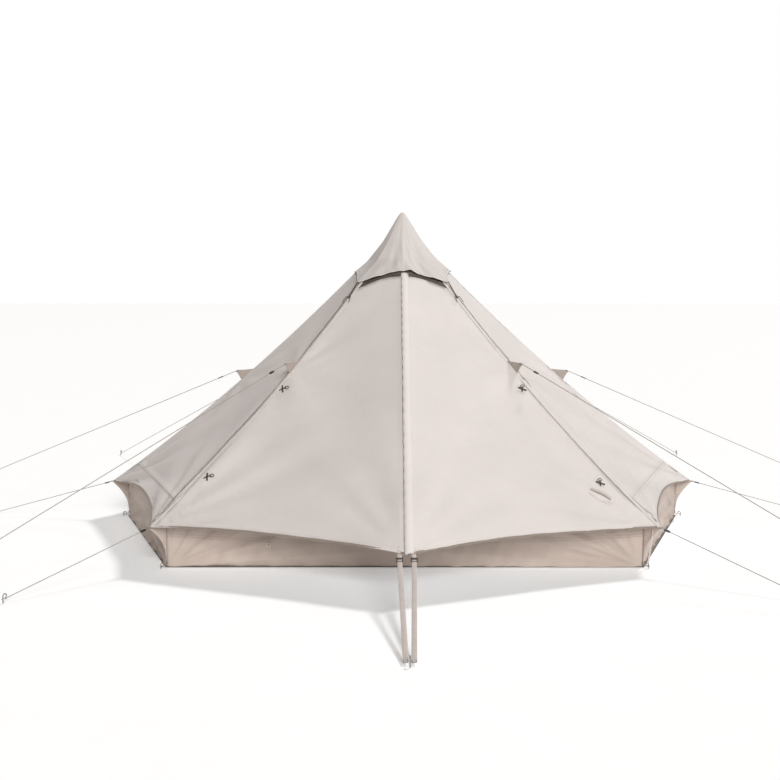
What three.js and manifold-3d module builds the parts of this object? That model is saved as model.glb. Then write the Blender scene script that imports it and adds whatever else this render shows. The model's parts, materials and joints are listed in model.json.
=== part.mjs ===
// Pyramid tent on one centre pole: eight sewn panels over an octagon, the two front panels
// open as doors. Millimetres, +Z up, origin on the ground under the apex, front towards -Y.
import * as THREE from "three";
import { mergeVertices } from "three/addons/utils/BufferGeometryUtils.js";
import Module from "manifold-3d";

const wasm = await Module();
wasm.setup();

// Driving dimensions
const CORNER_RADIUS = 2250; // axis to an eave corner
const EAVE_HEIGHT = 276;
const APEX_HEIGHT = 2342;
const VENT_RADIUS = 350; // axis to the upper end of a ridge
const VENT_HEIGHT = 1897;
const RIDGE_SAG = 70; // how far a ridge dips below its straight line
const GROUND_RADIUS = 2128; // axis to a corner of the wall
const SIDE_ANGLE = 45;
const CLOTH = 4;
const SEAM_GAP = 1.5; // from a panel's edge to the middle of its seam
const TOUCH_GAP = 0.3;
const SIDE_ARCH = 0.045; // rise of a side hem, as a share of the corner radius
const FRONT_ARCH = 0.014;
const DOOR_TOP = { ridge: 550, seam: 400 }; // axis to the door's upper edge
const EAVE_ANCHOR = { usual: 3195, rear: 2890 }; // axis to the pegs
const MIDDLE_ANCHOR = { front: 4010, left: 3975, right: 3865, rear: 3110, rear_diagonal: 4230 };
const LINE_DIAMETER = 4;

// Cap
const CAP_PROFILE = [
  [14, 2342],
  [120, 2140],
  [225, 1992],
  [292, 1946],
  [371, 1897],
  [473, 1808],
]; // radius, height
const CAP_HEM = { corner: 473, middle: 371 };
const CAP_CLOTH = 4;

// Lift tabs, where the middle guy lines leave the ridges
const TAB = { base: 130, height: 75, thick: 3, clear: 14, side_radius: 1226, diagonal_radius: 1102 };

// Pole
const POLE_RADIUS = 16;
const POLE_WALL = 1.8;
const POLE_JOINT = 1180;
const SPIGOT = 80;
const POLE_TOP = 2262;
const FOOT = { radius: 30, height: 34, floor: 8 };
const CROWN = { radius: 42, height: 26, socket: 18 };

// Ground sheet, walls and inner front wall
const SHEET_THICK = 3;
const SHEET_INSET = 9;
const WALL_DROP = 14; // wall top below the panel above it
const INNER_DROP = 48; // inner wall below the front ridges
const INNER_TOP_RADIUS = 675;
const INNER_EDGE = 16;
const INNER_DOOR = { bottom: 520, top: 240, sill: 60, height: 1240, gap: 4 };
const INNER_CLOTH = 3;

// Front straps
const STRAP = { width: 28, thick: 2.4, spread: 41, peg_radius: 3240, buckle_gap: 6 };
const BUCKLE = { width: 38, length: 52, thick: 8 };

const CORNERS = [
  { name: "front_left", azimuth: -45 },
  { name: "left", azimuth: -90 },
  { name: "rear_left", azimuth: -135 },
  { name: "rear", azimuth: 180 },
  { name: "rear_right", azimuth: 135 },
  { name: "right", azimuth: 90 },
  { name: "front_right", azimuth: 45 },
];

// The sides that don't open, from the front left corner round the back to the front right one
const FIXED_SIDES = ["left_front", "left_rear", "rear_left", "rear_right", "right_rear", "right_front"];

const CANVAS = new THREE.MeshStandardMaterial({ color: 0xded6cb, roughness: 0.95 });
const MESH = new THREE.MeshStandardMaterial({ color: 0x6b6156, roughness: 0.9 });
const GROUNDSHEET = new THREE.MeshStandardMaterial({ color: 0x6f6a5e, roughness: 0.7 });
const WEBBING = new THREE.MeshStandardMaterial({ color: 0xcfc3b2, roughness: 0.9 });
const CORD = new THREE.MeshStandardMaterial({ color: 0xe6e0d6, roughness: 0.8 });
const STEEL = new THREE.MeshStandardMaterial({ color: 0x9a9c9e, roughness: 0.4, metalness: 1 });
const PLASTIC = new THREE.MeshStandardMaterial({ color: 0x2b2a29, roughness: 0.5 });
const RUBBER = new THREE.MeshStandardMaterial({ color: 0x1f1f1f, roughness: 0.9 });

const tent = new THREE.Group();

// A point at an azimuth in degrees (0 at the front, 90 on the right), a radius and a height.
function at(azimuth, radius, height) {
  const a = THREE.MathUtils.degToRad(azimuth);
  return new THREE.Vector3(radius * Math.sin(a), -radius * Math.cos(a), height);
}

// Height of a ridge over a radius. The front seam is the one ridge that is straight.
function ridgeHeight(radius, azimuth = SIDE_ANGLE) {
  const down = (radius - VENT_RADIUS) / (CORNER_RADIUS - VENT_RADIUS);
  const dip = azimuth === 0 ? 0 : 4 * RIDGE_SAG * down * (1 - down);
  return VENT_HEIGHT + down * (EAVE_HEIGHT - VENT_HEIGHT) - dip;
}

function ridgePoint(azimuth, radius) {
  return at(azimuth, radius, ridgeHeight(radius, azimuth));
}

function addMesh(name, geometry, material) {
  const mesh = new THREE.Mesh(geometry, material);
  mesh.name = name;
  tent.add(mesh);
  return mesh;
}

function fromTriangles(points, triangles) {
  const geometry = new THREE.BufferGeometry();
  geometry.setAttribute("position", new THREE.Float32BufferAttribute(points.flatMap((p) => p.toArray()), 3));
  geometry.setIndex(triangles);
  return facingOut(geometry);
}

// Turns every face round where the closed surface is inside out.
function facingOut(geometry) {
  const position = geometry.getAttribute("position");
  const corner = [0, 1, 2].map(() => new THREE.Vector3());
  const index = geometry.index.array;
  let volume = 0;
  for (let i = 0; i < index.length; i += 3) {
    corner.forEach((c, k) => c.fromBufferAttribute(position, index[i + k]));
    volume += corner[0].dot(corner[1].clone().cross(corner[2]));
  }
  if (volume < 0) {
    for (let i = 0; i < index.length; i += 3) {
      [index[i], index[i + 1]] = [index[i + 1], index[i]];
    }
  }
  return geometry;
}

// A closed sheet: a grid of points, and the same grid moved by `depth`.
function sheetSolid(grid, depth) {
  const rows = grid.length;
  const columns = grid[0].length;
  const front = grid.flat();
  const points = [...front, ...front.map((p) => p.clone().add(depth))];
  const back = front.length;
  const id = (r, c) => r * columns + c;
  const triangles = [];
  const quad = (a, b, c, d) => triangles.push(a, b, c, a, c, d);
  for (let r = 0; r < rows - 1; r++) {
    for (let c = 0; c < columns - 1; c++) {
      const cell = [id(r, c), id(r, c + 1), id(r + 1, c + 1), id(r + 1, c)];
      quad(...cell);
      quad(...cell.map((i) => i + back).reverse());
    }
  }
  const rim = [];
  for (let c = 0; c < columns - 1; c++) rim.push(id(0, c));
  for (let r = 0; r < rows - 1; r++) rim.push(id(r, columns - 1));
  for (let c = columns - 1; c > 0; c--) rim.push(id(rows - 1, c));
  for (let r = rows - 1; r > 0; r--) rim.push(id(r, 0));
  rim.forEach((a, i) => {
    const b = rim[(i + 1) % rim.length];
    quad(b, a, a + back, b + back);
  });
  return fromTriangles(points, triangles);
}

function asSolid(geometry) {
  const bare = geometry.clone();
  bare.deleteAttribute("normal");
  bare.deleteAttribute("uv");
  const merged = mergeVertices(bare, 1e-3);
  return new wasm.Manifold(
    new wasm.Mesh({
      numProp: 3,
      vertProperties: new Float32Array(merged.getAttribute("position").array),
      triVerts: new Uint32Array(merged.index.array),
    }),
  );
}

function asGeometry(solid) {
  const mesh = solid.getMesh();
  const geometry = new THREE.BufferGeometry();
  geometry.setAttribute("position", new THREE.BufferAttribute(mesh.vertProperties, 3));
  geometry.setIndex(new THREE.BufferAttribute(mesh.triVerts, 1));
  return geometry;
}

// Inward direction across a panel between two ridges, at right angles to its middle.
function inward(left, right) {
  const across = ridgePoint(right, CORNER_RADIUS).sub(ridgePoint(left, CORNER_RADIUS));
  const middle = (left + right) / 2;
  const down = at(middle, 1, 0).multiplyScalar(CORNER_RADIUS - VENT_RADIUS);
  down.multiplyScalar(Math.cos(THREE.MathUtils.degToRad(SIDE_ANGLE / 2)));
  down.z = EAVE_HEIGHT - VENT_HEIGHT;
  const normal = across.cross(down).normalize();
  return normal.z > 0 ? normal.negate() : normal;
}

// A panel between the ridges at two azimuths; top and hem give the radius at 0..1 across.
function panelGeometry(left, right, top, hem, rows = 8, columns = 8) {
  const grid = [];
  for (let r = 0; r <= rows; r++) {
    const row = [];
    for (let c = 0; c <= columns; c++) {
      const share = c / columns;
      const radius = THREE.MathUtils.lerp(top(share), hem(share), r / rows);
      const a = ridgePoint(left, radius);
      const b = ridgePoint(right, radius);
      const edge = SEAM_GAP / a.distanceTo(b);
      row.push(a.lerp(b, THREE.MathUtils.lerp(edge, 1 - edge, share)));
    }
    grid.push(row);
  }
  return sheetSolid(grid, inward(left, right).multiplyScalar(CLOTH));
}

const archedHem = (rise) => (share) => CORNER_RADIUS * (1 - rise * 4 * share * (1 - share));

// Direction down a ridge, and the one that stands off it, both in the ridge's upright plane.
function ridgeFrame(azimuth, radius) {
  const step = 20;
  const down = ridgePoint(azimuth, radius + step).sub(ridgePoint(azimuth, radius - step)).normalize();
  const side = at(azimuth + 90, 1, 0);
  const out = side.clone().cross(down).normalize();
  return { down, side, out: out.z < 0 ? out.negate() : out };
}

function tabRadius(azimuth) {
  return azimuth % (2 * SIDE_ANGLE) === 0 ? TAB.side_radius : TAB.diagonal_radius;
}

function tabTip(azimuth) {
  const radius = tabRadius(azimuth);
  const { out } = ridgeFrame(azimuth, radius);
  return ridgePoint(azimuth, radius).addScaledVector(out, TAB.height);
}

// A three-cornered tab standing on a ridge, on one side (+1 or -1) of the ridge's middle.
function tabGeometry(azimuth, towards) {
  const radius = tabRadius(azimuth);
  const { down, side, out } = ridgeFrame(azimuth, radius);
  const root = ridgePoint(azimuth, radius).addScaledVector(side, towards * TOUCH_GAP);
  const corner = (along, up) => root.clone().addScaledVector(down, along).addScaledVector(out, up);
  const half = TAB.base / 2;
  const foot = -CLOTH / 2;
  const grid = [
    [corner(-half, foot), corner(half, foot)],
    [corner(-8, TAB.height), corner(8, TAB.height)],
  ];
  return sheetSolid(grid, side.clone().multiplyScalar(towards * TAB.thick));
}

// The six fixed panels. Each carries the tab at its far corner, and the first also its near one.
function addPanels() {
  FIXED_SIDES.forEach((name, i) => {
    const near = -SIDE_ANGLE * (i + 1);
    const far = near - SIDE_ANGLE;
    let solid = asSolid(panelGeometry(far, near, () => VENT_RADIUS, archedHem(SIDE_ARCH)));
    if (i === 0) solid = solid.add(asSolid(tabGeometry(near, -1)));
    solid = solid.add(asSolid(tabGeometry(far, 1)));
    addMesh(`panel_${name}`, asGeometry(solid), CANVAS);
  });
}

function addDoors() {
  for (const [name, ridge] of [["door_left", -SIDE_ANGLE], ["door_right", SIDE_ANGLE]]) {
    const left = Math.min(ridge, 0);
    const right = Math.max(ridge, 0);
    const fromSeam = (share) => (ridge < 0 ? 1 - share : share);
    const top = (share) => THREE.MathUtils.lerp(DOOR_TOP.seam, DOOR_TOP.ridge, fromSeam(share));
    addMesh(name, panelGeometry(left, right, top, archedHem(FRONT_ARCH)), CANVAS);
    const ventEdge = (share) => top(share) - SEAM_GAP * 2;
    const vent = panelGeometry(left, right, () => VENT_RADIUS, ventEdge, 1, 4);
    addMesh(`vent_${name.slice(5)}`, vent, MESH);
  }
}

// Height of the cap's outer face over a radius.
function capHeight(radius) {
  const next = CAP_PROFILE.findIndex(([r]) => r >= radius - 1e-6);
  const [r1, z1] = CAP_PROFILE[Math.max(next, 1)];
  const [r0, z0] = CAP_PROFILE[Math.max(next, 1) - 1];
  return THREE.MathUtils.mapLinear(radius, r0, r1, z0, z1);
}

// An eight-sided peaked cover whose hem rises between its four corners.
function addCap() {
  const parts = 4; // steps along each of the eight sides
  const count = parts * 8;
  const rings = 7;
  const start = CAP_PROFILE[0][0];
  const points = [];
  for (const drop of [0, CAP_CLOTH]) {
    for (let k = 0; k <= rings; k++) {
      for (let m = 0; m < count; m++) {
        const azimuth = Math.floor(m / parts) * SIDE_ANGLE;
        const share = (m % parts) / parts;
        const near = 0.5 + 0.5 * Math.cos(THREE.MathUtils.degToRad(4 * (azimuth + share * SIDE_ANGLE)));
        const hem = THREE.MathUtils.lerp(CAP_HEM.corner, CAP_HEM.middle, near);
        const radius = start + ((hem - start) * k) / rings;
        const height = capHeight(radius) - drop * 1.6;
        const inner = Math.max(radius - drop, 6);
        points.push(at(azimuth, inner, height).lerp(at(azimuth + SIDE_ANGLE, inner, height), share));
      }
    }
  }
  const layer = (rings + 1) * count;
  const id = (side, k, m) => side * layer + k * count + (m % count);
  const triangles = [];
  for (let m = 0; m < count; m++) {
    for (let k = 0; k < rings; k++) {
      triangles.push(id(0, k, m), id(0, k + 1, m), id(0, k + 1, m + 1));
      triangles.push(id(0, k, m), id(0, k + 1, m + 1), id(0, k, m + 1));
      triangles.push(id(1, k, m), id(1, k + 1, m + 1), id(1, k + 1, m));
      triangles.push(id(1, k, m), id(1, k, m + 1), id(1, k + 1, m + 1));
    }
    triangles.push(id(0, rings, m), id(1, rings, m), id(1, rings, m + 1));
    triangles.push(id(0, rings, m), id(1, rings, m + 1), id(0, rings, m + 1));
    if (m > 0 && m < count - 1) {
      triangles.push(id(0, 0, 0), id(0, 0, m), id(0, 0, m + 1));
      triangles.push(id(1, 0, 0), id(1, 0, m + 1), id(1, 0, m));
    }
  }
  addMesh("peak_cap", fromTriangles(points, triangles), CANVAS);
}

// An upright wall along one side of the ground octagon.
function addWall(name, left, right, height) {
  const a = at(left, GROUND_RADIUS, 0);
  const b = at(right, GROUND_RADIUS, 0);
  const along = b.clone().sub(a).normalize();
  const inset = 4;
  a.addScaledVector(along, inset);
  b.addScaledVector(along, -inset);
  const up = new THREE.Vector3(0, 0, height);
  const grid = [
    [a, b],
    [a.clone().add(up), b.clone().add(up)],
  ];
  const middle = a.clone().add(b).setZ(0).normalize();
  addMesh(name, sheetSolid(grid, middle.multiplyScalar(-CLOTH)), CANVAS);
}

function addWalls() {
  const height = ridgeHeight(GROUND_RADIUS) - WALL_DROP;
  FIXED_SIDES.forEach((name, i) => {
    const near = -SIDE_ANGLE * (i + 1);
    addWall(`wall_${name}`, near, near - SIDE_ANGLE, height);
  });
  addWall("front_sill", -SIDE_ANGLE, SIDE_ANGLE, innerFrame().base.z - 6);
}

function addGroundsheet() {
  const outline = CORNERS.map(({ azimuth }) => at(azimuth, GROUND_RADIUS - SHEET_INSET, 0));
  const shape = new THREE.Shape(outline.map((p) => new THREE.Vector2(p.x, p.y)));
  addMesh("groundsheet", new THREE.ExtrudeGeometry(shape, { depth: SHEET_THICK, bevelEnabled: false }), GROUNDSHEET);
}

// The flat plane of the inner front wall: its base middle, its way up and its way in.
function innerFrame() {
  const lean = Math.cos(THREE.MathUtils.degToRad(SIDE_ANGLE));
  const foot = (radius) => new THREE.Vector3(0, -radius * lean, ridgeHeight(radius) - INNER_DROP);
  const base = foot(GROUND_RADIUS);
  const top = foot(INNER_TOP_RADIUS);
  const up = top.clone().sub(base);
  const rise = up.length();
  up.normalize();
  const across = new THREE.Vector3(1, 0, 0);
  const outwards = across.clone().cross(up);
  const widths = [GROUND_RADIUS, INNER_TOP_RADIUS].map((r) => r * lean - INNER_EDGE);
  return { base, up, rise, across, outwards, widths };
}

// A flat piece of the inner front wall, drawn as [across, up] corners in its plane.
function addInnerPiece(name, corners, material, doorway = null) {
  const { base, up, across, outwards } = innerFrame();
  const outline = (points) => points.map(([x, y]) => new THREE.Vector2(x, y));
  const shape = new THREE.Shape(outline(corners));
  if (doorway) shape.holes.push(new THREE.Path(outline(doorway)));
  const geometry = new THREE.ExtrudeGeometry(shape, { depth: INNER_CLOTH, bevelEnabled: false });
  const place = new THREE.Matrix4().makeBasis(across, up, outwards).setPosition(base);
  addMesh(name, geometry.applyMatrix4(place), material);
}

// A symmetric four-cornered outline from its half widths and heights.
function trapezium(halfBottom, halfTop, low, high) {
  return [
    [-halfBottom, low],
    [halfBottom, low],
    [halfTop, high],
    [-halfTop, high],
  ];
}

function addInnerFront() {
  const { rise, widths } = innerFrame();
  const { bottom, top, sill, height, gap } = INNER_DOOR;
  const doorway = trapezium(bottom + gap, top + gap, sill - gap, sill + height + gap);
  addInnerPiece("inner_front_wall", trapezium(...widths, gap, rise), CANVAS, doorway);
  for (const [side, s] of [["left", -1], ["right", 1]]) {
    const leaf = [
      [(s * gap) / 2, sill],
      [s * bottom, sill],
      [s * top, sill + height],
      [(s * gap) / 2, sill + height],
    ];
    addInnerPiece(`inner_door_${side}`, leaf, MESH);
  }
}

function lathe(profile, segments = 20) {
  const points = profile.map(([r, z]) => new THREE.Vector2(r, z));
  const geometry = new THREE.LatheGeometry(points, segments);
  geometry.deleteAttribute("normal");
  geometry.deleteAttribute("uv");
  return facingOut(mergeVertices(geometry, 1e-3).rotateX(Math.PI / 2));
}

// Two tubes on one another, a rubber foot under them and a domed crown on top.
function addPole() {
  const bore = POLE_RADIUS - POLE_WALL;
  const plug = bore - TOUCH_GAP;
  const foot_top = SHEET_THICK + TOUCH_GAP + FOOT.floor;
  const tube_foot = foot_top + TOUCH_GAP;
  const r = POLE_RADIUS;
  const socket = r + TOUCH_GAP;
  const ground = SHEET_THICK + TOUCH_GAP;
  addMesh("pole_foot", lathe([
    [0, ground],
    [FOOT.radius, ground],
    [FOOT.radius - 8, ground + FOOT.height],
    [socket, ground + FOOT.height],
    [socket, foot_top],
    [0, foot_top],
  ]), RUBBER);
  addMesh("pole_lower", lathe([
    [bore, tube_foot],
    [r, tube_foot],
    [r, POLE_JOINT],
    [bore, POLE_JOINT],
    [bore, tube_foot],
  ]), STEEL);
  addMesh("pole_upper", lathe([
    [0, POLE_JOINT - SPIGOT],
    [plug, POLE_JOINT - SPIGOT],
    [plug, POLE_JOINT + TOUCH_GAP],
    [r, POLE_JOINT + TOUCH_GAP],
    [r, POLE_TOP],
    [0, POLE_TOP],
  ]), STEEL);
  const under = POLE_TOP - CROWN.socket;
  const dome = POLE_TOP + TOUCH_GAP + 2;
  addMesh("pole_crown", lathe([
    [socket, under],
    [CROWN.radius * 0.6, under],
    [CROWN.radius, dome],
    [CROWN.radius * 0.8, dome + CROWN.height * 0.6],
    [CROWN.radius * 0.3, dome + CROWN.height],
    [0, dome + CROWN.height],
    [0, POLE_TOP + TOUCH_GAP],
    [socket, POLE_TOP + TOUCH_GAP],
    [socket, under],
  ]), PLASTIC);
}

// A round bar along a curve through the given points.
function bar(points, radius, sides, steps) {
  const section = new THREE.Shape();
  for (let i = 0; i < sides; i++) {
    const a = (2 * Math.PI * i) / sides;
    section[i ? "lineTo" : "moveTo"](radius * Math.cos(a), radius * Math.sin(a));
  }
  section.closePath();
  const path = points.length === 2 ? new THREE.LineCurve3(...points) : new THREE.CatmullRomCurve3(points);
  return new THREE.ExtrudeGeometry(section, { steps, bevelEnabled: false, extrudePath: path });
}

// The part of a hooked peg that stands out of the ground; the hook turns back towards the tent.
function addPeg(name, azimuth, radius) {
  const shank = 3.5;
  const p = (out, z) => at(azimuth, radius + out, z);
  const curve = [p(0, 0), p(0, 14), p(0, 34), p(-3, 48), p(-12, 53), p(-20, 46), p(-20, 36)];
  addMesh(name, bar(curve, shank, 8, 12), STEEL);
}

const LINE_END = { before: 9, height: 24 }; // where a line's end stands at its peg

function lineEnd(azimuth, radius) {
  return at(azimuth, radius - LINE_END.before, LINE_END.height);
}

function addLine(name, from, to) {
  addMesh(name, bar([from, to], LINE_DIAMETER / 2, 8, 1), CORD);
}

function middleAnchor({ name, azimuth }) {
  const diagonal = Math.abs(azimuth) < 90 ? MIDDLE_ANCHOR.front : MIDDLE_ANCHOR.rear_diagonal;
  return MIDDLE_ANCHOR[name] ?? diagonal;
}

// A guy line from each middle tab, with its sliding tensioner and its peg.
function addMiddleGuys() {
  const slide_start = 120;
  const length = 34;
  for (const corner of CORNERS) {
    const { name, azimuth } = corner;
    const from = tabTip(azimuth);
    const to = lineEnd(azimuth, middleAnchor(corner));
    const way = to.clone().sub(from).normalize();
    from.addScaledVector(way, TAB.clear);
    addLine(`guy_line_${name}`, from, to);
    addPeg(`guy_peg_${name}`, azimuth, middleAnchor(corner));
    const bore = LINE_DIAMETER / 2 + 0.7;
    const profile = [
      [bore, -length / 2],
      [7, -length / 2],
      [9, 0],
      [7, length / 2],
      [bore, length / 2],
      [bore, -length / 2],
    ];
    const tensioner = addMesh(`guy_tensioner_${name}`, lathe(profile, 12), PLASTIC);
    tensioner.quaternion.setFromUnitVectors(new THREE.Vector3(0, 0, 1), way);
    tensioner.position.copy(from).addScaledVector(way, slide_start);
  }
}

function addEaveGuys() {
  for (const { name, azimuth } of CORNERS) {
    const from = at(azimuth, CORNER_RADIUS + 12, EAVE_HEIGHT - 4);
    addLine(`eave_line_${name}`, from, lineEnd(azimuth, EAVE_ANCHOR[name] ?? EAVE_ANCHOR.usual));
  }
}

// A box from one point to another, with its width level.
function flatBar(from, to, width, thick) {
  const length = from.distanceTo(to);
  const way = to.clone().sub(from).normalize();
  const across = new THREE.Vector3(0, 0, 1).cross(way).normalize();
  const geometry = new THREE.BoxGeometry(width, length, thick);
  const place = new THREE.Matrix4().makeBasis(across, way, across.clone().cross(way));
  place.setPosition(from.clone().add(to).multiplyScalar(0.5));
  return geometry.applyMatrix4(place);
}

// Two webbing straps, each from a buckle at a door's lower front corner to one peg.
function addFrontStraps() {
  addPeg("front_peg", 0, STRAP.peg_radius);
  for (const [side, s] of [["left", -1], ["right", 1]]) {
    const top = new THREE.Vector3(s * STRAP.spread, -CORNER_RADIUS - 6, EAVE_HEIGHT - 16);
    const end = new THREE.Vector3(s * 20, -STRAP.peg_radius + 30, 16);
    const way = end.clone().sub(top).normalize();
    const buckle_end = top.clone().addScaledVector(way, BUCKLE.length);
    addMesh(`buckle_${side}`, flatBar(top, buckle_end, BUCKLE.width, BUCKLE.thick), PLASTIC);
    const strap_start = buckle_end.clone().addScaledVector(way, STRAP.buckle_gap);
    addMesh(`strap_${side}`, flatBar(strap_start, end, STRAP.width, STRAP.thick), WEBBING);
  }
}

// The slider of the door zip, at the foot of the front seam on the right door's side.
function addZipSlider() {
  const size = new THREE.Vector3(12, 26, 5);
  const up = ridgePoint(0, VENT_RADIUS).sub(ridgePoint(0, CORNER_RADIUS)).normalize();
  const across = new THREE.Vector3(1, 0, 0);
  const out = across.clone().cross(up);
  const geometry = new THREE.BoxGeometry(size.x, size.y, size.z);
  const place = new THREE.Matrix4().makeBasis(across, up, out);
  const centre = ridgePoint(0, CORNER_RADIUS).addScaledVector(up, 60);
  centre.addScaledVector(out, size.z / 2 + 1).addScaledVector(across, size.x / 2 + 2);
  addMesh("zip_slider", geometry.applyMatrix4(place.setPosition(centre)), STEEL);
}

addPanels();
addDoors();
addCap();
addWalls();
addGroundsheet();
addInnerFront();
addPole();
addMiddleGuys();
addEaveGuys();
addFrontStraps();
addZipSlider();

export default tent;
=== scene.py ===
import json
import math

import bmesh
import bpy
import numpy as np
from mathutils import Matrix, Vector

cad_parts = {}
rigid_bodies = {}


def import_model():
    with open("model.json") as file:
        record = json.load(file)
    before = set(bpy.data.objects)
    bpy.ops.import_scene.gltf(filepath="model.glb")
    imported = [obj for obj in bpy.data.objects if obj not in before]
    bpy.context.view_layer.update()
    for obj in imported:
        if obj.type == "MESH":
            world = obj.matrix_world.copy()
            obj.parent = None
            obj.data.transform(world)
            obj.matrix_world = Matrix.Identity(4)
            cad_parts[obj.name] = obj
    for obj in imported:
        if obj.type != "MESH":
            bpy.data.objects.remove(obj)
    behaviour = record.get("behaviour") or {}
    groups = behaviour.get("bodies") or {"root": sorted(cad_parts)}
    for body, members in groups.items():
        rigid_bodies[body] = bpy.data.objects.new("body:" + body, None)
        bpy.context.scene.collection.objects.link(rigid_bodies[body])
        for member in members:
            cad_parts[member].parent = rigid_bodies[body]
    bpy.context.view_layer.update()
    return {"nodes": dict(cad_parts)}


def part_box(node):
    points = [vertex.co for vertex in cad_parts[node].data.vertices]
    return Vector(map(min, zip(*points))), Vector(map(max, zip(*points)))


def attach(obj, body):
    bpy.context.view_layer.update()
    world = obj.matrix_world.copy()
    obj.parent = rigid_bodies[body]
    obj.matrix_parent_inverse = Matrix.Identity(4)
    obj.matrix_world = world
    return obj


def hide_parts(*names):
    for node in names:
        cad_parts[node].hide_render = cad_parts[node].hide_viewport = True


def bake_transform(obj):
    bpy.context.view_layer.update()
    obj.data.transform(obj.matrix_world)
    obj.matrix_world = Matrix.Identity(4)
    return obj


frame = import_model()

# Driving dimensions, in metres
CORNER_RADIUS = 2.25
EAVE_HEIGHT = 0.276
VENT_RADIUS = 0.35
VENT_HEIGHT = 1.897
RIDGE_SAG = 0.07
GROUND_RADIUS = 2.128
SIDE_ARCH = 0.045
FRONT_ARCH = 0.014
DOOR_TOP_RIDGE = 0.495
DOOR_TOP_SEAM = 0.40
DOORS_APART = 0.0006
TAB_SIDE, TAB_DIAGONAL, TAB_HEIGHT, TAB_CLEAR = 1.226, 1.102, 0.075, 0.014
TAB_BASE, TAB_SWEEP = 0.13, 0.045
TAPE_HALF = 0.019
LINE_RADIUS = 0.0025  # with the fuzz of the braid
LINE_BEFORE_PEG, LINE_END_HEIGHT = 0.009, 0.024
LOCK_FROM_TAB, LOCK_FROM_EAVE = 0.12, 0.035
EAVE_ANCHOR = {"usual": 3.195, "rear": 2.89}
MIDDLE_ANCHOR = {
    "front_left": 4.01,
    "left": 3.975,
    "rear_left": 4.23,
    "rear": 3.11,
    "rear_right": 4.23,
    "right": 3.865,
    "front_right": 4.01,
}
STRAP_WIDTH, STRAP_THICK, STRAP_SPREAD, STRAP_PEG = 0.028, 0.0024, 0.041, 3.24
BUCKLE_LENGTH, BUCKLE_HALF = 0.052, 0.0168
CANVAS_THICK, MESH_THICK = 0.0016, 0.001

# Azimuths in degrees, 0 at the front and 90 on the right
EIGHTH = 45
CORNERS = {
    "front_left": -45,
    "left": -90,
    "rear_left": -135,
    "rear": 180,
    "rear_right": 135,
    "right": 90,
    "front_right": 45,
}
FIXED_SIDES = ["left_front", "left_rear", "rear_left", "rear_right", "right_rear", "right_front"]
GORES = [(-EIGHTH * i, -EIGHTH * (i + 1)) for i in range(1, 7)]
SIDES = (("left", -1), ("right", 1))
X_AXIS, Z_AXIS = np.eye(3)[0], np.eye(3)[2]

# Camera, with its place in corner radii
CAMERA_LENS = 46.7
CAMERA_PLACE = (-0.0417, -3.4601, 0.7643)
CAMERA_TILT = 0.0939

# Colours, and the distance between repeats of the weaves and stitches
WHITE = (1.0, 1.0, 1.0)
CANVAS_COLOUR = (0.710, 0.660, 0.632)
THREAD_PITCH, MESH_PITCH, WEBBING_PITCH, TAPE_PITCH, STITCH_PITCH = 0.0016, 0.004, 0.003, 0.012, 0.007


# ---------------------------------------------------------------- frame geometry
def at(azimuth, radius, height):
    """A point at an azimuth in degrees, 0 at the front and 90 on the right."""
    a = np.radians(azimuth)
    x, y, z = np.broadcast_arrays(radius * np.sin(a), -radius * np.cos(a), height)
    return np.stack([x, y, z], -1).astype(float)


def ridge_height(radius, azimuth=EIGHTH):
    down = (radius - VENT_RADIUS) / (CORNER_RADIUS - VENT_RADIUS)
    dip = 0 if azimuth == 0 else 4 * RIDGE_SAG * down * (1 - down)
    return VENT_HEIGHT + down * (EAVE_HEIGHT - VENT_HEIGHT) - dip


def ridge_point(azimuth, radius):
    return at(azimuth, radius, ridge_height(radius, azimuth))


def unit(v):
    return v / np.linalg.norm(v)


def upward(v):
    """The direction or its opposite, whichever points up."""
    return v if v[2] > 0 else -v


def between(a, b, count):
    """Points on the straight line from a to b."""
    share = np.linspace(0, 1, count)[:, None]
    return a * (1 - share) + b * share


def gore_width(radius):
    """A panel's width at a radius, from ridge to ridge."""
    return 2 * radius * math.sin(math.radians(EIGHTH / 2))


def ridge_frame(azimuth, radius):
    """Down the ridge, off to its side and out from it, as three directions."""
    down = unit(ridge_point(azimuth, radius + 0.02) - ridge_point(azimuth, radius - 0.02))
    side = at(azimuth + 90, 1, 0)
    return down, side, upward(unit(np.cross(side, down)))


def tab_radius(azimuth):
    return TAB_SIDE if azimuth % (2 * EIGHTH) == 0 else TAB_DIAGONAL


def tab_tip(azimuth):
    radius = tab_radius(azimuth)
    return ridge_point(azimuth, radius) + ridge_frame(azimuth, radius)[2] * TAB_HEIGHT


def panel_outwards(left, right):
    """The outward direction at right angles to a panel's middle."""
    across = ridge_point(right, CORNER_RADIUS) - ridge_point(left, CORNER_RADIUS)
    down = at((left + right) / 2, 1, 0) * (CORNER_RADIUS - VENT_RADIUS) * math.cos(math.radians(EIGHTH / 2))
    down[2] = EAVE_HEIGHT - VENT_HEIGHT
    return upward(unit(np.cross(across, down)))


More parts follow.
